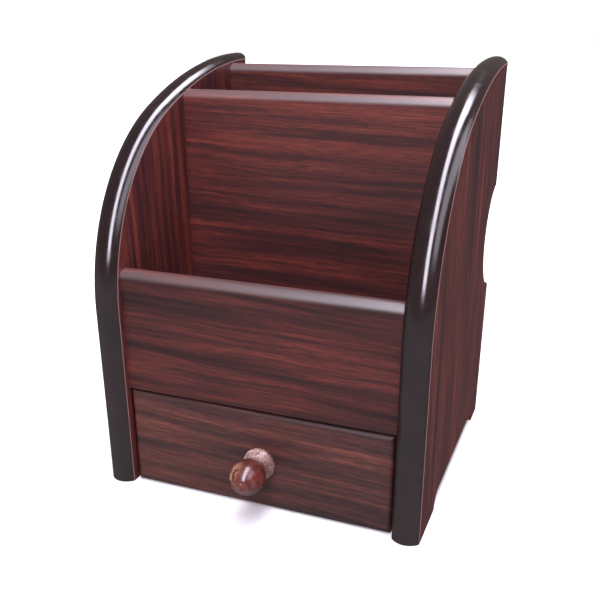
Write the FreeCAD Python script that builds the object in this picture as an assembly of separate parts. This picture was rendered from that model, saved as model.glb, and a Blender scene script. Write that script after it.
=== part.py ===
import FreeCAD, Part
import math
import os

# A pick holder: two tall side panels with a curved front edge, a front panel, a divider and a
# back panel between them, a floor under the two compartments, and one drawer below the floor.
# Millimetres, +Z up.  While the pieces are made, x = 0 is the middle plane, y = 0 the front of
# the edge mouldings and z = 0 the ground.  Export moves the origin to the middle of the base.

# ---- Side panels ----
WIDTH = 150.0               # over the outer faces of the two side panels
DEPTH = 142.0               # front of the mouldings to the rear edge of the side panels
SIDE_TOP = 183.4            # top of the panels at their rear edge, moulding not counted
SIDE_THICKNESS = 12.0
CURVE_RISE = 99.6           # height of the curved part of the front edge
BLEND_SLOPE = 24.0          # degrees from level where the tight arc meets the wide one
NOTCH_RADIUS = 26.4         # half-round finger notch in the rear edge
NOTCH_HEIGHT = 100.2        # centre of the notch above the ground
RELIEF_HEIGHT = 7.0         # hollow in the lower edge, which leaves a foot at each end
RELIEF_CORNER = 7.0
FRONT_FOOT = 27.1           # length of the front foot on the wood
REAR_FOOT = 19.3
REAR_EDGE_RADIUS = 4.5      # rounding of the rear edge, seen from above, moulding ends too

# ---- Edge mouldings: a crown over the panel's edge and a tongue glued into a saw kerf ----
CROWN_HEIGHT = 3.3
CROWN_SIDE = 0.4            # upright side of the crown below its arc
TONGUE_THICKNESS = 2.0
TONGUE_DEPTH = 5.4
KERF_SIDE_CLEARANCE = 0.08
KERF_END_CLEARANCE = 0.6
MOULDING_GLUE = 0.05        # glue line under the crown

# ---- Boards between the side panels ----
BOARD = 9.0
ROUNDED_TOP = 4.0           # radius along both long edges of each upright board's top
TOP_FLAT = 0.2              # least flat left between the two
FRONT_SETBACK = 2.0         # front panel behind the wood edge of the side panels
FRONT_PANEL_TOP = 103.1
BAY_TOP = 48.0              # underside of the front panel and of the compartment floor
FRONT_COMPARTMENT = 55.4    # inside length, front panel to divider
DIVIDER_DROP = 10.6         # divider's top below the side panels' top
BACK_INSET = 13.1           # rear face of the back panel from the panels' rear edge
BACK_DROP = 1.3
BOTTOM_UNDERSIDE = 9.0      # hardboard bottom, held in grooves
HARDBOARD = 3.0
HARDBOARD_GROOVE = 3.0      # groove depth in the side panels and in the back panel
GROOVE_CLEARANCE = 0.1
BOTTOM_FRONT_GAP = 1.0      # bottom panel's front edge behind the closed drawer front

# ---- Dowels ----
DOWEL_DIAMETER = 5.0
DOWEL_IN_SIDE = 8.0
DOWEL_IN_BOARD = 14.0
DOWEL_IN_FRONT_PANEL = 5.5
DOWEL_CLEARANCE = 0.05      # on the radius
DOWEL_END_CLEARANCE = 0.5
DOWEL_MARGIN = 20.0         # end dowels from the end of the seat that they hold
DOWEL_CHAMFER = 0.6

# ---- Drawer ----
DRAWER_PROUD = 0.6          # drawer front ahead of the front panel
DRAWER_SIDE_GAP = 1.3       # drawer front to each side panel
DRAWER_TOP_GAP = 1.0
DRAWER_GROUND_GAP = 0.5
DRAWER_FRONT_RADIUS = 2.0
DRAWER_WALL = 5.0
BOX_SIDE_GAP = 1.8          # drawer box to each side panel
BOX_RUNNING_GAP = 0.3       # drawer base above the bottom panel
BOX_HEADROOM = 5.0          # box walls below the compartment floor
BOX_STOP_GAP = 0.3          # closed box to the back panel, its stop
DRAWER_BASE = 2.5
HOUSING_DEPTH = 3.0         # box sides and base let into the back of the drawer front
HOUSING_CLEARANCE = 0.1

# ---- Brads ----
BRAD_DIAMETER = 1.4
BRAD_LENGTH = 14.0
BRAD_HEAD_DIAMETER = 2.6
BRAD_HEAD_THICKNESS = 0.6
BRAD_CLEARANCE = 0.05       # on the radius
BRAD_MARGIN = 7.0           # brads from the end of the joint that they hold

# ---- Knob and its screw ----
KNOB_OFFSET = 1.8           # to the right of the middle
KNOB_HEIGHT = 22.6
KNOB_FLANGE_RADIUS = 7.3
KNOB_FLANGE_THICKNESS = 1.2
KNOB_NECK_RADIUS = 4.6
KNOB_NECK_POSITION = 5.4    # narrowest place from the drawer front
KNOB_COVE_SHARE = 0.25      # middle of the cove, from the neck's radius towards the flange's
KNOB_HEAD_RADIUS = 7.6
KNOB_HEAD_HALF_LENGTH = 8.8
KNOB_HEAD_STEPS = 12        # points that its outline is drawn through
SCREW_DIAMETER = 3.4
SCREW_IN_KNOB = 13.0
SCREW_CLEARANCE = 0.05      # on the radius
SCREW_TIP = 2.6
SCREW_HEAD_DIAMETER = 7.0
SCREW_HEAD_THICKNESS = 2.4
SCREW_SLOT_WIDTH = 1.0
SCREW_SLOT_DEPTH = 1.1
SCREW_TIP_RADIUS = 0.3
DRILL_POINT_CLEARANCE = 0.6

# ---- Modelling ----
OVERSHOOT = 1.0             # how far a cutting shape runs past the face that it opens
SAME_PLANE = 0.01

# ---- Places that follow from the sizes above ----
HALF_OUTSIDE = WIDTH / 2
HALF_INSIDE = HALF_OUTSIDE - SIDE_THICKNESS
SIDE_FRONT = CROWN_HEIGHT
CURVE_START = SIDE_TOP - CURVE_RISE
FRONT_PANEL_FRONT = SIDE_FRONT + FRONT_SETBACK
FRONT_PANEL_REAR = FRONT_PANEL_FRONT + BOARD
DIVIDER_FRONT = FRONT_PANEL_REAR + FRONT_COMPARTMENT
DIVIDER_TOP = SIDE_TOP - DIVIDER_DROP
BACK_REAR = DEPTH - BACK_INSET
BACK_FRONT = BACK_REAR - BOARD
BACK_TOP = SIDE_TOP - BACK_DROP
FLOOR_TOP = BAY_TOP + BOARD
BOTTOM_TOP = BOTTOM_UNDERSIDE + HARDBOARD
KERF_DEPTH = TONGUE_DEPTH + KERF_END_CLEARANCE
DRAWER_FACE = FRONT_PANEL_FRONT - DRAWER_PROUD
DRAWER_FRONT_REAR = DRAWER_FACE + BOARD
DRAWER_FRONT_TOP = BAY_TOP - DRAWER_TOP_GAP
BOX_HALF_WIDTH = HALF_INSIDE - BOX_SIDE_GAP
BOX_HALF_INSIDE = BOX_HALF_WIDTH - DRAWER_WALL
BOX_REAR = BACK_FRONT - BOX_STOP_GAP
BOX_UNDERSIDE = BOTTOM_TOP + BOX_RUNNING_GAP
BOX_FLOOR = BOX_UNDERSIDE + DRAWER_BASE
BOX_TOP = BAY_TOP - BOX_HEADROOM
KNOB_LENGTH = KNOB_NECK_POSITION + KNOB_HEAD_HALF_LENGTH * (
    1 + math.sqrt(1 - (KNOB_NECK_RADIUS / KNOB_HEAD_RADIUS) ** 2))
ORIGIN_Y = (DRAWER_FACE - KNOB_LENGTH + DEPTH) / 2

V = FreeCAD.Vector
X, Y, Z = V(1, 0, 0), V(0, 1, 0), V(0, 0, 1)


# ---- Shape helpers ----
def box(x0, x1, y0, y1, z0, z1):
    return Part.makeBox(x1 - x0, y1 - y0, z1 - z0, V(x0, y0, z0))


def rod(start, axis, radius, length):
    return Part.makeCylinder(radius, length, start, axis)


def face_of(edges):
    """Flat face inside a closed run of edges, given in order."""
    return Part.Face(Part.Wire(edges))


def line(start, end):
    return Part.LineSegment(start, end).toShape()


def arc_about(centre, radius, first, last, across, up):
    """Arc from angle first to angle last, in degrees, in the plane of across and up."""
    def point(angle):
        turn = math.radians(angle)
        return centre + across * (radius * math.cos(turn)) + up * (radius * math.sin(turn))
    return Part.Arc(point(first), point((first + last) / 2), point(last)).toShape()


def edges_at(shape, y):
    """The edges of a shape that lie in a plane across y."""
    return [edge for edge in shape.Edges
            if abs(edge.BoundBox.YMin - y) < SAME_PLANE > abs(edge.BoundBox.YMax - y)]


def mirrored(shape):
    """The same piece on the other side of the middle plane."""
    return shape.mirror(V(0, 0, 0), X)


def one_solid(shape):
    """Merge split faces, and keep the single solid that a cut or a fuse leaves."""
    return shape.removeSplitter().Solids[0]


# ---- The curved front edge of a side panel ----
def edge_arcs():
    """Radii of the tight lower arc and the wide upper arc, which ends level at the rear edge."""
    slope = math.radians(BLEND_SLOPE)
    sine, cosine = math.sin(slope), math.cos(slope)
    run = DEPTH - SIDE_FRONT
    scale = (1 - sine) * (1 - cosine) - sine * cosine
    lower = (run * (1 - cosine) - CURVE_RISE * sine) / scale
    upper = (CURVE_RISE * (1 - sine) - run * cosine) / scale
    return lower, upper


def follow_edge(section):
    """Carry a section, drawn on the ground at the foot of the front edge, along that edge."""
    lower, upper = edge_arcs()
    straight = section.extrude(Z * CURVE_START)
    lower_centre = V(0, SIDE_FRONT + lower, CURVE_START)
    at_bend = section.translated(Z * CURVE_START)
    lower_turn = 90 - BLEND_SLOPE
    bend = at_bend.revolve(lower_centre, -X, lower_turn)
    at_blend = at_bend.rotated(lower_centre, -X, lower_turn)
    crest = at_blend.revolve(V(0, DEPTH, SIDE_TOP - upper), -X, BLEND_SLOPE)
    return one_solid(straight.fuse([bend, crest]))


def side_outline():
    """Edges of a side panel in the plane x = 0, from the front foot up and round."""
    lower, upper = edge_arcs()
    relief_front = SIDE_FRONT + FRONT_FOOT
    relief_rear = DEPTH - REAR_FOOT
    corner = min(RELIEF_CORNER, RELIEF_HEIGHT)
    relief_ends = [[line(V(0, y, 0), V(0, y, RELIEF_HEIGHT - corner))]
                   if RELIEF_HEIGHT > corner else [] for y in (relief_rear, relief_front)]
    notch_top = NOTCH_HEIGHT + NOTCH_RADIUS
    notch_bottom = NOTCH_HEIGHT - NOTCH_RADIUS
    return [
        line(V(0, SIDE_FRONT, 0), V(0, SIDE_FRONT, CURVE_START)),
        arc_about(V(0, SIDE_FRONT + lower, CURVE_START), lower, 180, 90 + BLEND_SLOPE, Y, Z),
        arc_about(V(0, DEPTH, SIDE_TOP - upper), upper, 90 + BLEND_SLOPE, 90, Y, Z),
        line(V(0, DEPTH, SIDE_TOP), V(0, DEPTH, notch_top)),
        arc_about(V(0, DEPTH, NOTCH_HEIGHT), NOTCH_RADIUS, 90, 270, Y, Z),
        line(V(0, DEPTH, notch_bottom), V(0, DEPTH, 0)),
        line(V(0, DEPTH, 0), V(0, relief_rear, 0)),
        *relief_ends[0],
        arc_about(V(0, relief_rear - corner, RELIEF_HEIGHT - corner), corner, 0, 90, Y, Z),
        line(V(0, relief_rear - corner, RELIEF_HEIGHT),
             V(0, relief_front + corner, RELIEF_HEIGHT)),
        arc_about(V(0, relief_front + corner, RELIEF_HEIGHT - corner), corner, 90, 180, Y, Z),
        *relief_ends[1],
        line(V(0, relief_front, 0), V(0, SIDE_FRONT, 0)),
    ]


def rear_corners():
    """What the rounded rear edge of the right panel takes off, from the foot to the crown."""
    radius = REAR_EDGE_RADIUS
    foot, top = -OVERSHOOT, SIDE_TOP + CROWN_HEIGHT + OVERSHOOT
    waste = []
    for middle, outer in ((HALF_INSIDE + radius, HALF_INSIDE - OVERSHOOT),
                          (HALF_OUTSIDE - radius, HALF_OUTSIDE + OVERSHOOT)):
        block = box(min(middle, outer), max(middle, outer),
                    DEPTH - radius, DEPTH + OVERSHOOT, foot, top)
        waste.append(block.cut(rod(V(middle, DEPTH - radius, foot), Z, radius, top - foot)))
    return waste


# ---- Dowels: places of each group, as (centre of the seat, axis into the board) ----
def spread(start, end, margin):
    """The two places that lie a margin inside the ends of a seat."""
    return [start + margin, end - margin]


def divider_seats():
    y = DIVIDER_FRONT + BOARD / 2
    return [V(HALF_INSIDE, y, z) for z in spread(FLOOR_TOP, DIVIDER_TOP, DOWEL_MARGIN)]


def back_seats():
    """Two dowels below the notch and one above it."""
    y = BACK_FRONT + BOARD / 2
    below = NOTCH_HEIGHT - NOTCH_RADIUS - BOTTOM_TOP
    above = (NOTCH_HEIGHT + NOTCH_RADIUS + BACK_TOP) / 2
    heights = [BOTTOM_TOP + below / 4, BOTTOM_TOP + below * 3 / 4, above]
    return [V(HALF_INSIDE, y, z) for z in heights]


def floor_seats():
    z = BAY_TOP + BOARD / 2
    return [V(HALF_INSIDE, y, z) for y in spread(FRONT_PANEL_REAR, BACK_FRONT, DOWEL_MARGIN)]


def front_panel_seats():
    z = BAY_TOP + BOARD / 2
    ends = spread(-HALF_INSIDE, HALF_INSIDE, DOWEL_MARGIN)
    return [V(x, FRONT_PANEL_REAR, z) for x in (ends[0], 0, ends[1])]


def dowel(seat, axis, before, after):
    """A dowel through a seat: so far before it against the axis, and so far after it."""
    start = seat - axis * before
    pin = rod(start, axis, DOWEL_DIAMETER / 2, before + after)
    ends = [edge for edge in pin.Edges if isinstance(edge.Curve, Part.Circle)]
    return pin.makeChamfer(DOWEL_CHAMFER, ends)


def dowel_hole(seat, axis, before, after):
    start = seat - axis * (before + DOWEL_END_CLEARANCE)
    length = before + after + 2 * DOWEL_END_CLEARANCE
    return rod(start, axis, DOWEL_DIAMETER / 2 + DOWEL_CLEARANCE, length)


def side_dowels(seats, maker):
    """Dowels or holes between both side panels and the ends of a board."""
    right = [maker(seat, X, DOWEL_IN_BOARD, DOWEL_IN_SIDE) for seat in seats]
    return right + [mirrored(shape) for shape in right]


def front_dowels(maker):
    return [maker(seat, Y, DOWEL_IN_FRONT_PANEL, DOWEL_IN_BOARD)
            for seat in front_panel_seats()]


# ---- Carcass ----
def moulding_section():
    """Crown and tongue at the foot of the right panel, in the plane z = 0."""
    middle = HALF_OUTSIDE - SIDE_THICKNESS / 2
    half = SIDE_THICKNESS / 2
    seat = SIDE_FRONT - MOULDING_GLUE
    side_y = SIDE_FRONT - CROWN_SIDE
    rise = CROWN_HEIGHT - CROWN_SIDE
    crown_radius = (half ** 2 + rise ** 2) / (2 * rise)
    lean = math.degrees(math.asin(half / crown_radius))
    tongue = TONGUE_THICKNESS / 2
    tip = SIDE_FRONT + TONGUE_DEPTH
    left, right = middle - half, middle + half
    return face_of([
        line(V(left, seat, 0), V(left, side_y, 0)),
        arc_about(V(middle, crown_radius, 0), crown_radius, 90 + lean, 90 - lean, X, -Y),
        line(V(right, side_y, 0), V(right, seat, 0)),
        line(V(right, seat, 0), V(middle + tongue, seat, 0)),
        line(V(middle + tongue, seat, 0), V(middle + tongue, tip, 0)),
        line(V(middle + tongue, tip, 0), V(middle - tongue, tip, 0)),
        line(V(middle - tongue, tip, 0), V(middle - tongue, seat, 0)),
        line(V(middle - tongue, seat, 0), V(left, seat, 0)),
    ])


def right_edge_moulding():
    return one_solid(follow_edge(moulding_section()).cut(rear_corners()))


def kerf():
    """Saw kerf for the tongue, a little past the wood edge so that it cuts clean through."""
    middle = HALF_OUTSIDE - SIDE_THICKNESS / 2
    half = TONGUE_THICKNESS / 2 + KERF_SIDE_CLEARANCE
    front = SIDE_FRONT - CROWN_HEIGHT / 2
    rear = SIDE_FRONT + KERF_DEPTH
    corners = [V(middle - half, front, 0), V(middle + half, front, 0),
               V(middle + half, rear, 0), V(middle - half, rear, 0)]
    return follow_edge(face_of([line(corners[i - 1], corners[i]) for i in range(4)]))


def right_side_panel():
    blank = face_of(side_outline()).extrude(X * SIDE_THICKNESS).translated(X * HALF_INSIDE)
    groove = box(HALF_INSIDE - OVERSHOOT, HALF_INSIDE + HARDBOARD_GROOVE,
                 DRAWER_FRONT_REAR, BACK_FRONT + HARDBOARD_GROOVE,
                 BOTTOM_UNDERSIDE - GROOVE_CLEARANCE, BOTTOM_TOP + GROOVE_CLEARANCE)
    holes = side_dowels(divider_seats() + back_seats() + floor_seats(), dowel_hole)
    return one_solid(blank.cut([kerf(), groove] + rear_corners() + holes))


def upright(front, bottom, top, holes):
    """A board between the side panels, its top rounded along both long edges."""
    radius = min(ROUNDED_TOP, (BOARD - TOP_FLAT) / 2)
    rear = front + BOARD
    edges = [
        line(V(0, front, bottom), V(0, front, top - radius)),
        arc_about(V(0, front + radius, top - radius), radius, 180, 90, Y, Z),
        line(V(0, front + radius, top), V(0, rear - radius, top)),
        arc_about(V(0, rear - radius, top - radius), radius, 90, 0, Y, Z),
        line(V(0, rear, top - radius), V(0, rear, bottom)),
        line(V(0, rear, bottom), V(0, front, bottom)),
    ]
    blank = face_of(edges).extrude(X * 2 * HALF_INSIDE).translated(-X * HALF_INSIDE)
    return one_solid(blank.cut(holes))


def front_panel():
    return upright(FRONT_PANEL_FRONT, BAY_TOP, FRONT_PANEL_TOP, front_dowels(dowel_hole))


def divider():
    return upright(DIVIDER_FRONT, FLOOR_TOP, DIVIDER_TOP,
                   side_dowels(divider_seats(), dowel_hole))


def back_panel():
    groove = box(-HALF_INSIDE - OVERSHOOT, HALF_INSIDE + OVERSHOOT,
                 BACK_FRONT - OVERSHOOT, BACK_FRONT + HARDBOARD_GROOVE,
                 BOTTOM_UNDERSIDE - GROOVE_CLEARANCE, BOTTOM_TOP + GROOVE_CLEARANCE)
    bottom = RELIEF_HEIGHT - GROOVE_CLEARANCE
    return upright(BACK_FRONT, bottom, BACK_TOP,
                   [groove] + side_dowels(back_seats(), dowel_hole))


def compartment_floor():
    blank = box(-HALF_INSIDE, HALF_INSIDE, FRONT_PANEL_REAR, BACK_FRONT, BAY_TOP, FLOOR_TOP)
    return one_solid(blank.cut(side_dowels(floor_seats(), dowel_hole)
                               + front_dowels(dowel_hole)))


def bottom_panel():
    tongue = HARDBOARD_GROOVE - GROOVE_CLEARANCE
    return box(-HALF_INSIDE - tongue, HALF_INSIDE + tongue,
               DRAWER_FRONT_REAR + BOTTOM_FRONT_GAP, BACK_FRONT + tongue,
               BOTTOM_UNDERSIDE, BOTTOM_TOP)


# ---- Brads of the drawer box: driven straight in, heads flush ----
def brad(place, axis):
    """A brad with its head's outer face at a place."""
    shank = rod(place, axis, BRAD_DIAMETER / 2, BRAD_LENGTH)
    head = rod(place, axis, BRAD_HEAD_DIAMETER / 2, BRAD_HEAD_THICKNESS)
    return one_solid(shank.fuse(head))


def brad_hole(place, axis):
    start = place - axis * OVERSHOOT
    shank = rod(start, axis, BRAD_DIAMETER / 2 + BRAD_CLEARANCE,
                OVERSHOOT + BRAD_LENGTH + DRILL_POINT_CLEARANCE)
    head = rod(start, axis, BRAD_HEAD_DIAMETER / 2 + BRAD_CLEARANCE,
               OVERSHOOT + BRAD_HEAD_THICKNESS + BRAD_CLEARANCE)
    return shank.fuse(head)


def corner_brads(maker):
    """Two brads through each box side into the end of the drawer back."""
    y = BOX_REAR - DRAWER_WALL / 2
    heights = spread(BOX_FLOOR, BOX_TOP, BRAD_MARGIN)
    right = [maker(V(BOX_HALF_WIDTH, y, z), -X) for z in heights]
    return right + [mirrored(shape) for shape in right]


def base_brads(maker):
    """Brads up through the base: three into each box side, between the corners."""
    x = BOX_HALF_WIDTH - DRAWER_WALL / 2
    first, last = spread(DRAWER_FRONT_REAR, BOX_REAR - DRAWER_WALL, BRAD_MARGIN)
    right = [maker(V(x, y, BOX_UNDERSIDE), Z) for y in (first, (first + last) / 2, last)]
    return right + [mirrored(shape) for shape in right]


# ---- Drawer ----
def screw_hole():
    start = V(KNOB_OFFSET, DRAWER_FRONT_REAR + OVERSHOOT, KNOB_HEIGHT)
    return rod(start, -Y, SCREW_DIAMETER / 2 + SCREW_CLEARANCE,
               OVERSHOOT + BOARD + SCREW_IN_KNOB + DRILL_POINT_CLEARANCE)


def drawer_front():
    half = HALF_INSIDE - DRAWER_SIDE_GAP
    blank = box(-half, half, DRAWER_FACE, DRAWER_FRONT_REAR,
                DRAWER_GROUND_GAP, DRAWER_FRONT_TOP)
    rounded = blank.makeFillet(DRAWER_FRONT_RADIUS, edges_at(blank, DRAWER_FACE))
    depth = DRAWER_FRONT_REAR - HOUSING_DEPTH
    outer = BOX_HALF_WIDTH + HOUSING_CLEARANCE
    inner = BOX_HALF_INSIDE - HOUSING_CLEARANCE
    side_housing = box(inner, outer, depth, DRAWER_FRONT_REAR + OVERSHOOT, BOX_FLOOR,
                       BOX_TOP + HOUSING_CLEARANCE)
    base_housing = box(-outer, outer, depth, DRAWER_FRONT_REAR + OVERSHOOT,
                       BOX_UNDERSIDE - HOUSING_CLEARANCE, BOX_FLOOR + HOUSING_CLEARANCE)
    return one_solid(rounded.cut([side_housing, mirrored(side_housing), base_housing,
                                  screw_hole()]))


def drawer_right_side():
    blank = box(BOX_HALF_INSIDE, BOX_HALF_WIDTH,
                DRAWER_FRONT_REAR - HOUSING_DEPTH + HOUSING_CLEARANCE, BOX_REAR,
                BOX_FLOOR, BOX_TOP)
    return one_solid(blank.cut(corner_brads(brad_hole) + base_brads(brad_hole)))


def drawer_back():
    blank = box(-BOX_HALF_INSIDE, BOX_HALF_INSIDE, BOX_REAR - DRAWER_WALL, BOX_REAR,
                BOX_FLOOR, BOX_TOP)
    return one_solid(blank.cut(corner_brads(brad_hole)))


def drawer_base():
    blank = box(-BOX_HALF_WIDTH, BOX_HALF_WIDTH,
                DRAWER_FRONT_REAR - HOUSING_DEPTH + HOUSING_CLEARANCE, BOX_REAR,
                BOX_UNDERSIDE, BOX_FLOOR)
    return one_solid(blank.cut(base_brads(brad_hole)))


def knob():
    """Turned knob: a flange on the drawer front, a coved neck and an egg-shaped head."""
    def at(radius, out):
        return V(KNOB_OFFSET + radius, DRAWER_FACE - out, KNOB_HEIGHT)
    neck_turn = -math.acos(KNOB_NECK_RADIUS / KNOB_HEAD_RADIUS)
    centre_out = KNOB_NECK_POSITION - KNOB_HEAD_HALF_LENGTH * math.sin(neck_turn)
    neck = at(KNOB_NECK_RADIUS, KNOB_NECK_POSITION)
    tip = at(0, KNOB_LENGTH)
    turns = [neck_turn + (math.pi / 2 - neck_turn) * step / KNOB_HEAD_STEPS
             for step in range(1, KNOB_HEAD_STEPS)]
    between = [at(KNOB_HEAD_RADIUS * math.cos(turn),
                  centre_out + KNOB_HEAD_HALF_LENGTH * math.sin(turn)) for turn in turns]
    leave = V(-KNOB_HEAD_RADIUS * math.sin(neck_turn),
              -KNOB_HEAD_HALF_LENGTH * math.cos(neck_turn), 0)
    head = Part.BSplineCurve()
    head.interpolate(Points=[neck, *between, tip], InitialTangent=leave, FinalTangent=-X)
    rim = at(KNOB_FLANGE_RADIUS, KNOB_FLANGE_THICKNESS)
    cove_radius = KNOB_NECK_RADIUS + KNOB_COVE_SHARE * (KNOB_FLANGE_RADIUS - KNOB_NECK_RADIUS)
    cove_out = (KNOB_FLANGE_THICKNESS + KNOB_NECK_POSITION) / 2
    outline = Part.Wire(Part.__sortEdges__([
        line(at(0, 0), at(KNOB_FLANGE_RADIUS, 0)),
        line(at(KNOB_FLANGE_RADIUS, 0), rim),
        Part.Arc(rim, at(cove_radius, cove_out), neck).toShape(),
        head.toShape(),
        line(tip, at(0, 0)),
    ]))
    turned = Part.Face(outline).revolve(at(0, 0), Y, 360)
    return one_solid(turned.cut(screw_hole()))


def knob_screw():
    """Slotted round-head screw from inside the drawer, through the front into the knob."""
    seat = V(KNOB_OFFSET, DRAWER_FRONT_REAR, KNOB_HEIGHT)
    shank_length = BOARD + SCREW_IN_KNOB
    shank = rod(seat, -Y, SCREW_DIAMETER / 2, shank_length - SCREW_TIP)
    tip = Part.makeCone(SCREW_DIAMETER / 2, SCREW_TIP_RADIUS, SCREW_TIP,
                        seat - Y * (shank_length - SCREW_TIP), -Y)
    head = rod(seat, Y, SCREW_HEAD_DIAMETER / 2, SCREW_HEAD_THICKNESS)
    head_top = DRAWER_FRONT_REAR + SCREW_HEAD_THICKNESS
    head = head.makeFillet(SCREW_HEAD_THICKNESS / 2, edges_at(head, head_top))
    slot = box(KNOB_OFFSET - SCREW_HEAD_DIAMETER, KNOB_OFFSET + SCREW_HEAD_DIAMETER,
               head_top - SCREW_SLOT_DEPTH, head_top + OVERSHOOT,
               KNOB_HEIGHT - SCREW_SLOT_WIDTH / 2, KNOB_HEIGHT + SCREW_SLOT_WIDTH / 2)
    return one_solid(shank.fuse([tip, head]).cut(slot))


# ---- All pieces ----
def pieces():
    side = right_side_panel()
    moulding = right_edge_moulding()
    box_side = drawer_right_side()
    return {
        "right_side_panel": [side],
        "left_side_panel": [mirrored(side)],
        "right_edge_moulding": [moulding],
        "left_edge_moulding": [mirrored(moulding)],
        "front_panel": [front_panel()],
        "divider": [divider()],
        "back_panel": [back_panel()],
        "compartment_floor": [compartment_floor()],
        "bottom_panel": [bottom_panel()],
        "front_panel_dowels": front_dowels(dowel),
        "divider_dowels": side_dowels(divider_seats(), dowel),
        "back_panel_dowels": side_dowels(back_seats(), dowel),
        "floor_dowels": side_dowels(floor_seats(), dowel),
        "drawer_front": [drawer_front()],
        "drawer_right_side": [box_side],
        "drawer_left_side": [mirrored(box_side)],
        "drawer_back": [drawer_back()],
        "drawer_base": [drawer_base()],
        "drawer_corner_brads": corner_brads(brad),
        "drawer_base_brads": base_brads(brad),
        "knob": [knob()],
        "knob_screw": [knob_screw()],
    }


os.makedirs("parts", exist_ok=True)
for name, solids in pieces().items():
    moved = [solid.translated(-Y * ORIGIN_Y) for solid in solids]
    shape = moved[0] if len(moved) == 1 else Part.makeCompound(moved)
    print(name, len(moved), "valid" if shape.isValid() else "INVALID", round(shape.Volume, 1))
    shape.exportStep("parts/" + name + ".step")
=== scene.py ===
import math

import bpy
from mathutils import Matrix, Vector


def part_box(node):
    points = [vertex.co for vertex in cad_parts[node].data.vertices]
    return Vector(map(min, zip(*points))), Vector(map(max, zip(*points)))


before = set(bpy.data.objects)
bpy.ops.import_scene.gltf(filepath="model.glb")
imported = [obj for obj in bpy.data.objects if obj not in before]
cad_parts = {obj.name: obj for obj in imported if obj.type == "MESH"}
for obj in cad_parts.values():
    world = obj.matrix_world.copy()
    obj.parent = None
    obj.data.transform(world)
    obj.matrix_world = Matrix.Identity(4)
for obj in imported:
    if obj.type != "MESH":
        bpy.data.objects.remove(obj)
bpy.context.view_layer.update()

# Looks for the pick holder: dark red wood-grain foil on the boards, glossy dark edge mouldings,
# a varnished turned knob.  Metres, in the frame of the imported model.

MM = 0.001

# ---- Boards covered with foil ----
# Tints multiply the foil's shades so that each board's brightness matches the photo: they make
# lit and shaded copies of one foil, painted light and shade. The front panel and drawer front are
# darkened and greyed as painted shade.
LEVEL_BOARDS = (
    ("front_panel", (0.72, 0.78, 0.72)),
    ("divider", (1.03, 1.2, 1.15)),
    ("back_panel", (1.0, 1.25, 1.2)),
    ("drawer_front", (0.76, 1.3, 1.2)),
    ("compartment_floor", (1.0, 1.0, 1.0)))
UPRIGHT_BOARDS = ("front_panel", "divider", "back_panel")
# Side panel tints are painted light: both panels are lightened, and the left one is lightened and
# greyed most, as painted light and reflection on its inner face.
SIDE_PANELS = (
    ("left_side_panel", 31.3, (1.35, 1.8, 1.85)),
    ("right_side_panel", 40.2, (1.28, 1.3, 1.3)))
BOARD_SEED_STEP = 4.7
BOARD_SLOPE = 0.035         # the grain runs down to the right
SIDE_SLOPE = 0.04

# Streaks of the foil: length along the grain, width across it, and the place in the noise.
STREAKS = {
    "cloud": dict(run=110 * MM, pitch=14 * MM, shift=23.0, detail=1.0),
    "bands": dict(run=100 * MM, pitch=3.6 * MM, shift=0.0, detail=2.0, distortion=0.15),
    "lines": dict(run=60 * MM, pitch=1.5 * MM, shift=7.1, detail=2.0, roughness=0.6),
    "fibres": dict(run=20 * MM, pitch=0.6 * MM, shift=11.7, detail=3.0, roughness=0.62),
    "pores": dict(run=7 * MM, pitch=0.32 * MM, shift=17.9, detail=1.0)}
STREAK_SHARES = {"cloud": 0.22, "bands": 0.36, "lines": 0.24, "fibres": 0.18}
SWAY_RUN = 80 * MM
SWAY_PITCH = 22 * MM
SWAY_SHIFT = 3.3
SWAY = 5.5 * MM
FOIL_SHADES = (
    (0.37, (0.024, 0.0080, 0.0085)),
    (0.45, (0.044, 0.0105, 0.0105)),
    (0.52, (0.080, 0.0150, 0.0130)),
    (0.58, (0.125, 0.0215, 0.0160)),
    (0.66, (0.185, 0.0330, 0.0210)))
PORE_COLOUR = (0.018, 0.008, 0.009)
TOP_SHINE_STARTS = 4.2 * MM     # below a board's top
TOP_SHINE_FULL = 2.2 * MM

# ---- Other colours ----
MOULDING_SHADES = ((0.3, (0.0085, 0.0042, 0.0048)), (0.7, (0.014, 0.0066, 0.0072)))
# Painted highlight: a thin light reddish line along each moulding's lip beside the wood, for the
# lip's shine and its reflection of the red wood.
LIP_HIGHLIGHT_COLOUR = (0.21, 0.095, 0.085)
LIP_HIGHLIGHT_WIDTH = 0.22 * MM
LIP_HIGHLIGHT_FULL = 0.08 * MM
VARNISH_SHADES = (
    (0.35, (0.040, 0.009, 0.009)),
    (0.5, (0.085, 0.016, 0.013)),
    (0.68, (0.150, 0.032, 0.021)))
# Painted reflection of the floor on the lower half of the knob's head.
LOWER_HEAD_REFLECTION_COLOUR = (0.080, 0.056, 0.050)
WORN_COLOUR = (0.36, 0.19, 0.11)
# Pale end grain of the knob's flange, made lighter still as a painted highlight.
END_GRAIN_AND_HIGHLIGHT_COLOUR = (0.42, 0.29, 0.26)
FIBREBOARD_SHADES = ((0.20, 0.125, 0.07), (0.34, 0.23, 0.14))
HARDBOARD_SHADES = ((0.075, 0.040, 0.022), (0.15, 0.085, 0.045))
BEECH_SHADES = ((0.42, 0.28, 0.15), (0.60, 0.43, 0.26))
BOARD_FIBRE = 0.6 * MM
BEECH_FIBRE = 0.4 * MM
STEEL_SHADES = ((0.3, (0.42, 0.40, 0.37)), (0.7, (0.62, 0.60, 0.56)))
FLOOR_SHADES = ((0.3, (0.84, 0.84, 0.84)), (0.7, (0.86, 0.86, 0.86)))
FLOOR_SIZE = 8.0
WHITE = (1.0, 1.0, 1.0)

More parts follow.
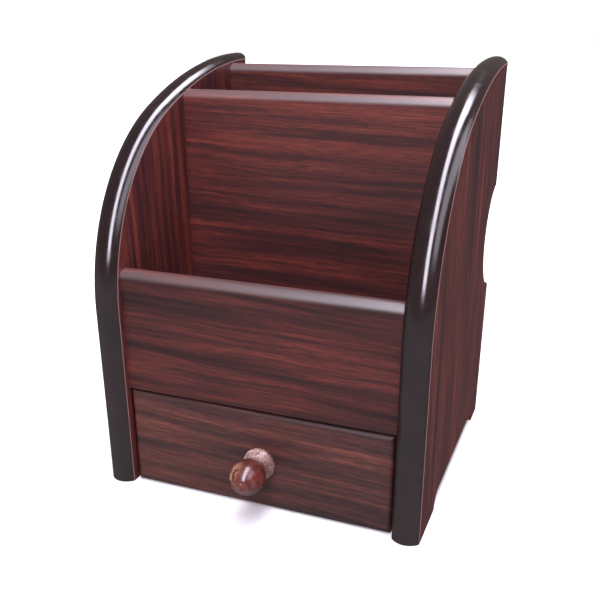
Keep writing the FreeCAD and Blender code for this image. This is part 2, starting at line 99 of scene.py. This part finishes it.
# ---- Studio: x is across, and "over" is the angle from the front horizon over the top ----
# Each lamp: (middle, half width, soft edge) across, the same over, and its glow.
STRIP_LIGHT = ((0.07, 0.145, 0.05), (1.29, 1.04, 0.12), 12.8)
SIDE_BOX = ((0.62, 0.16, 0.06), (1.5, 0.9, 0.2), 2.6)
LAMP_COLOUR = (0.98, 0.93, 1.06)
ROOM_GLOW = 0.17
ROOM_COLOUR = (1.0, 0.86, 0.80)
FLOOR_GLOW_BEHIND = 0.10
FLOOR_GLOW_FRONT = 0.38

# ---- Camera ----
CAMERA_AZIMUTH = 21.27
CAMERA_ELEVATION = 22.48
CAMERA_DISTANCE = 0.372
CAMERA_TARGET = Vector((0.0039, -0.0117, 0.0592))
CAMERA_LENS = 47.3
CAMERA_SHIFT = (-0.0041, 0.082)


# ---- Node materials ----
class Look:
    """A node material with one Principled shader, and short calls that add nodes to it."""

    def __init__(self, name, **shader):
        self.material = bpy.data.materials.new(name)
        self.material.use_nodes = True
        self.tree = self.material.node_tree
        self.shader = self.tree.nodes["Principled BSDF"]
        for socket, value in shader.items():
            self.shader.inputs[socket.replace("_", " ")].default_value = value
        self.place = self.node("ShaderNodeTexCoord").outputs["Object"]

    def node(self, kind, inputs=None, **settings):
        made = self.tree.nodes.new(kind)
        for key, value in settings.items():
            setattr(made, key, value)
        for socket, value in (inputs or {}).items():
            self.give(made.inputs[socket], value)
        return made

    def give(self, socket, value):
        """Link the socket to another socket, or set its value."""
        if isinstance(value, bpy.types.NodeSocket):
            self.tree.links.new(value, socket)
        else:
            socket.default_value = value

    def math(self, operation, first, second=0.0):
        return self.node("ShaderNodeMath", {0: first, 1: second}, operation=operation).outputs[0]

    def add(self, *parts):
        total = parts[0]
        for part in parts[1:]:
            total = self.math("ADD", total, part)
        return total

    def times(self, first, second):
        return self.math("MULTIPLY", first, second)

    def away(self, value, middle):
        """How far a value is from the middle."""
        return self.math("ABSOLUTE", self.math("SUBTRACT", value, middle))

    def split(self, vector):
        """The three parts of a vector, as sockets."""
        return self.node("ShaderNodeSeparateXYZ", {0: vector}).outputs

    def join(self, x, y, z):
        return self.node("ShaderNodeCombineXYZ", {0: x, 1: y, 2: z}).outputs[0]

    def stretched(self, x_scale, y_scale, z_scale):
        """The place, scaled along each axis."""
        scales = (x_scale, y_scale, z_scale)
        parts = self.split(self.place)
        return self.join(*(self.times(part, scale) for part, scale in zip(parts, scales)))

    def noise(self, vector, scale=1.0, detail=2.0, roughness=0.5, distortion=0.0):
        made = self.node("ShaderNodeTexNoise", {
            "Vector": vector, "Scale": scale, "Detail": detail, "Roughness": roughness,
            "Distortion": distortion})
        return made.outputs["Fac"]

    def band(self, value, low, high, to_low=0.0, to_high=1.0):
        """Map low..high to to_low..to_high, smoothly and clamped."""
        made = self.node("ShaderNodeMapRange", {
            "Value": value, "From Min": low, "From Max": high, "To Min": to_low,
            "To Max": to_high}, interpolation_type="SMOOTHSTEP")
        return made.outputs[0]

    def ramp(self, value, stops):
        made = self.node("ShaderNodeValToRGB", {0: value})
        elements = made.color_ramp.elements
        while len(elements) < len(stops):
            elements.new(0.5)
        for element, (position, colour) in zip(elements, stops):
            element.position = position
            element.color = (*colour, 1)
        return made.outputs[0]

    def mix(self, factor, first, second):
        """Blend two colours: the second where factor is 1."""
        made = self.node("ShaderNodeMix", {0: factor}, data_type="RGBA")
        for socket, value in ((6, first), (7, second)):
            is_link = isinstance(value, bpy.types.NodeSocket)
            self.give(made.inputs[socket], value if is_link else (*value, 1))
        return made.outputs[2]

    def set(self, socket, value):
        self.tree.links.new(value, self.shader.inputs[socket])

    def bump(self, height, distance):
        made = self.node("ShaderNodeBump", {"Height": height, "Distance": distance})
        self.set("Normal", made.outputs[0])


def foil(name, along, seed, slope, tint, top=None):
    """Rosewood-grain foil: dark and red streaks and fine pores along the grain.  It is
    smoother and shinier over the rounded top of a board."""
    look = Look(name, IOR=1.45, Specular_IOR_Level=0.42, Coat_Roughness=0.38, Coat_IOR=2.2)
    x, y, z = look.split(look.place)
    if along == "X":
        length, width = x, look.add(z, y)
    else:
        length, width = z, look.add(y, x)
    drift = look.noise(look.join(look.times(length, 1 / SWAY_RUN),
                                 look.times(width, 1 / SWAY_PITCH), seed + SWAY_SHIFT))
    sway = look.times(look.math("SUBTRACT", drift, 0.5), SWAY)
    bent = look.add(width, look.times(length, slope), sway)

    def streaks(run, pitch, shift, **options):
        place = look.join(look.times(length, 1 / run), look.times(bent, 1 / pitch), seed + shift)
        return look.noise(place, **options)

    layers = {layer: streaks(**options) for layer, options in STREAKS.items()}
    tone = look.add(*(look.times(layers[layer], share)
                      for layer, share in STREAK_SHARES.items()))
    # The tint makes a lit or shaded copy of the foil for each board: painted light and shade.
    shades = [(place, tuple(part * share for part, share in zip(shade, tint)))
              for place, shade in FOIL_SHADES]
    dark_pores = look.band(layers["pores"], 0.36, 0.50, 0.55, 0.0)
    look.set("Base Color", look.mix(dark_pores, look.ramp(tone, shades), PORE_COLOUR))
    look.set("Roughness", look.band(layers["fibres"], 0.3, 0.7, 0.46, 0.34))
    if top:
        look.set("Coat Weight", look.band(z, top - TOP_SHINE_STARTS, top - TOP_SHINE_FULL))
    look.bump(look.add(layers["fibres"], look.times(layers["pores"], 0.5)), 0.05 * MM)
    return look.material


def moulding_look():
    """Glossy dark plastic, with a painted highlight: a thin lighter, reddish line on the rounded
    lip beside the wood, standing in for the lip's shine and its reflection of the red wood.  The
    right moulding has no such painted line on its inner side."""
    look = Look("moulding_gloss", IOR=1.7)
    x = look.split(look.place)[0]
    lo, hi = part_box("right_edge_moulding")
    middle, half = (lo.x + hi.x) / 2, (hi.x - lo.x) / 2
    # The painted highlight line along the lip, left off the right moulding's inner side.
    lip_highlight = look.band(look.away(look.math("ABSOLUTE", x), middle), half - LIP_HIGHLIGHT_WIDTH,
                    half - LIP_HIGHLIGHT_FULL)
    inward = look.times(look.math("GREATER_THAN", x, 0.0), look.math("LESS_THAN", x, middle))
    lip_highlight = look.times(lip_highlight, look.math("SUBTRACT", 1.0, inward))
    cloud = look.noise(look.place, scale=60.0)
    look.set("Base Color", look.mix(lip_highlight, look.ramp(cloud, MOULDING_SHADES), LIP_HIGHLIGHT_COLOUR))
    specks = look.noise(look.place, scale=900.0)
    wear = look.noise(look.place, scale=140.0, detail=3.0)
    look.set("Roughness", look.add(look.band(wear, 0.4, 0.75, 0.13, 0.21),
                                   look.times(lip_highlight, 0.25)))
    look.bump(look.add(cloud, look.times(specks, 0.05)), 0.10 * MM)
    return look.material


def knob_look():
    """Turned wood under red-brown varnish: a painted reflection of the floor greys the lower half
    of its head, it is worn to tan on the left, and the flange is pale speckled end grain with a
    painted highlight."""
    look = Look("knob_varnish", IOR=1.5, Coat_Weight=0.7, Coat_Roughness=0.20)
    x, y, z = look.split(look.place)
    lo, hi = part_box("knob")
    axis_x, axis_z = (lo.x + hi.x) / 2, (lo.z + hi.z) / 2
    out = look.math("SUBTRACT", hi.y, y)
    rings = look.noise(look.stretched(160.0, 700.0, 160.0), detail=3.0)
    grain = look.noise(look.stretched(900.0, 90.0, 500.0), detail=3.0)
    patches = look.noise(look.place, scale=220.0, detail=4.0, roughness=0.65)
    specks = look.noise(look.place, scale=1100.0, detail=3.0, roughness=0.75)
    colour = look.ramp(look.add(look.times(rings, 0.6), look.times(grain, 0.4)), VARNISH_SHADES)

    # Painted reflection: the lower half of the head is greyed as the floor's reflection.
    lower_head_reflection = look.times(look.band(z, axis_z - 4.5 * MM, axis_z - 0.5 * MM, 1.0, 0.0),
                      look.band(out, 9 * MM, 12 * MM))
    colour = look.mix(look.times(lower_head_reflection, 0.9), colour, LOWER_HEAD_REFLECTION_COLOUR)

    left = look.times(look.band(x, axis_x - 6 * MM, axis_x + 1 * MM, 1.0, 0.0),
                      look.band(z, axis_z - 4 * MM, axis_z - 1 * MM))
    worn = look.times(look.times(look.band(patches, 0.40, 0.54), left),
                      look.band(out, 12 * MM, 15 * MM))
    colour = look.mix(worn, colour, WORN_COLOUR)

    # The flange's pale speckles: bare end grain with a painted highlight, weaker towards +x.
    flange = look.band(out, 3.8 * MM, 5.6 * MM, 1.0, 0.0)
    pale_side = look.band(x, axis_x + 1 * MM, axis_x + 6 * MM, 1.0, 0.30)
    pale = look.times(look.times(flange, pale_side), look.band(specks, 0.40, 0.56, 0.10, 1.0))
    look.set("Base Color", look.mix(pale, colour, END_GRAIN_AND_HIGHLIGHT_COLOUR))
    look.set("Roughness", look.add(look.times(flange, 0.3),
                                   look.band(patches, 0.3, 0.7, 0.18, 0.34)))
    look.bump(look.add(grain, look.times(specks, look.times(flange, 2.0))), 0.06 * MM)
    return look.material


def board_look(name, dark, light, along=None, fibre=BOARD_FIBRE):
    """Unpainted board: soft fibres, drawn out along one axis or even in all of them."""
    look = Look(name, IOR=1.45)
    factors = [0.08 if axis == along else 1 for axis in "XYZ"]
    fibres = look.noise(look.stretched(*(factor / fibre for factor in factors)), detail=4.0,
                        roughness=0.6)
    cloud = look.noise(look.place, scale=45.0, detail=3.0)
    tone = look.add(look.times(fibres, 0.6), look.times(cloud, 0.4))
    look.set("Base Color", look.ramp(tone, [(0.35, dark), (0.65, light)]))
    look.set("Roughness", look.band(fibres, 0.3, 0.7, 0.62, 0.80))
    look.bump(fibres, 0.08 * MM)
    return look.material


def steel_look():
    look = Look("steel_bright", Metallic=1.0)
    rub = look.noise(look.place, scale=2500.0, detail=3.0)
    look.set("Base Color", look.ramp(rub, STEEL_SHADES))
    look.set("Roughness", look.band(rub, 0.3, 0.7, 0.25, 0.42))
    look.bump(rub, 0.02 * MM)
    return look.material


def dress(material, *nodes):
    """Give CAD nodes one material in place of their own."""
    for name in nodes:
        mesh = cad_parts[name].data
        mesh.materials.clear()
        mesh.materials.append(material)


def dress_all():
    for place, (name, tint) in enumerate(LEVEL_BOARDS, start=1):
        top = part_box(name)[1].z if name in UPRIGHT_BOARDS else None
        seed = BOARD_SEED_STEP * place
        dress(foil(name + "_foil", "X", seed, BOARD_SLOPE, tint, top), name)
    for name, seed, tint in SIDE_PANELS:
        dress(foil(name + "_foil", "Z", seed, SIDE_SLOPE, tint), name)
    dress(moulding_look(), "left_edge_moulding", "right_edge_moulding")
    dress(knob_look(), "knob")
    dress(board_look("drawer_board", *FIBREBOARD_SHADES, along="Y"), "drawer_left_side",
          "drawer_right_side")
    dress(board_look("drawer_back_board", *FIBREBOARD_SHADES, along="X"), "drawer_back")
    dress(board_look("hardboard", *HARDBOARD_SHADES), "drawer_base", "bottom_panel")
    dress(board_look("beech", *BEECH_SHADES, along="X", fibre=BEECH_FIBRE),
          "divider_dowels", "back_panel_dowels", "floor_dowels", "front_panel_dowels")
    dress(steel_look(), "drawer_corner_brads", "drawer_base_brads", "knob_screw")


# ---- Stage, light and camera ----
def make_floor():
    """A pale floor, which the gloss of the object doesn't mirror."""
    bpy.ops.mesh.primitive_plane_add(size=FLOOR_SIZE, location=(0, 0, 0))
    floor = bpy.context.object
    floor.name = "floor"
    look = Look("floor_pale", Roughness=0.9, Specular_IOR_Level=0.1)
    paper = look.noise(look.place, scale=30.0, detail=3.0)
    look.set("Base Color", look.ramp(paper, FLOOR_SHADES))
    floor.data.materials.append(look.material)
    floor.visible_glossy = False


class Sky(Look):
    """The studio round the object, as brightness by direction."""

    def __init__(self, world):
        self.tree = world.node_tree
        self.place = self.node("ShaderNodeTexCoord").outputs["Generated"]

    def near(self, value, middle, half_width, edge):
        """1 within half_width of the middle, with a soft edge."""
        off = self.away(value, middle)
        return self.band(off, half_width - edge, half_width + edge, 1.0, 0.0)

    def lamp(self, across, over, across_band, over_band, glow):
        return self.times(self.times(self.near(across, *across_band),
                                     self.near(over, *over_band)), glow)


def make_studio():
    """White to the camera; for light and gloss a dim room, a pale floor, one long strip light
    that runs from low in front over the top, and a weaker box to its right."""
    world = bpy.data.worlds.new("studio")
    world.use_nodes = True
    sky = Sky(world)
    x, y, z = sky.split(sky.place)
    front = sky.times(y, -1.0)
    over = sky.math("ARCTAN2", z, front)
    lamps = sky.add(sky.lamp(x, over, *STRIP_LIGHT), sky.lamp(x, over, *SIDE_BOX))
    below = sky.times(sky.band(z, -0.10, 0.02, 1.0, 0.0),
                      sky.band(front, -0.5, 0.6, FLOOR_GLOW_BEHIND, FLOOR_GLOW_FRONT))
    room = sky.times(sky.band(z, -0.10, 0.02), ROOM_GLOW)
    glow = sky.add(lamps, below, room)
    tint = sky.mix(sky.band(lamps, 0.0, 1.0), ROOM_COLOUR, LAMP_COLOUR)
    tint = sky.mix(sky.band(below, 0.0, 0.1), tint, WHITE)

    seen = sky.node("ShaderNodeLightPath").outputs["Is Camera Ray"]
    strength = sky.node("ShaderNodeMix", {0: seen, 2: glow, 3: 1.0}, data_type="FLOAT").outputs[0]
    background = world.node_tree.nodes["Background"]
    sky.give(background.inputs["Color"], sky.mix(seen, tint, WHITE))
    sky.give(background.inputs["Strength"], strength)
    bpy.context.scene.world = world


def make_camera():
    """The camera looks down on the holder's front from its right."""
    azimuth = math.radians(CAMERA_AZIMUTH)
    elevation = math.radians(CAMERA_ELEVATION)
    back = Vector((math.sin(azimuth) * math.cos(elevation),
                   -math.cos(azimuth) * math.cos(elevation), math.sin(elevation)))
    data = bpy.data.cameras.new("camera")
    data.sensor_width = 36.0
    data.lens = CAMERA_LENS
    data.shift_x, data.shift_y = CAMERA_SHIFT
    camera = bpy.data.objects.new("camera", data)
    bpy.context.scene.collection.objects.link(camera)
    camera.location = CAMERA_TARGET + back * CAMERA_DISTANCE
    camera.rotation_euler = (-back).to_track_quat("-Z", "Y").to_euler()
    bpy.context.scene.camera = camera


dress_all()
make_floor()
make_studio()
make_camera()
bpy.context.scene.view_settings.view_transform = "Standard"
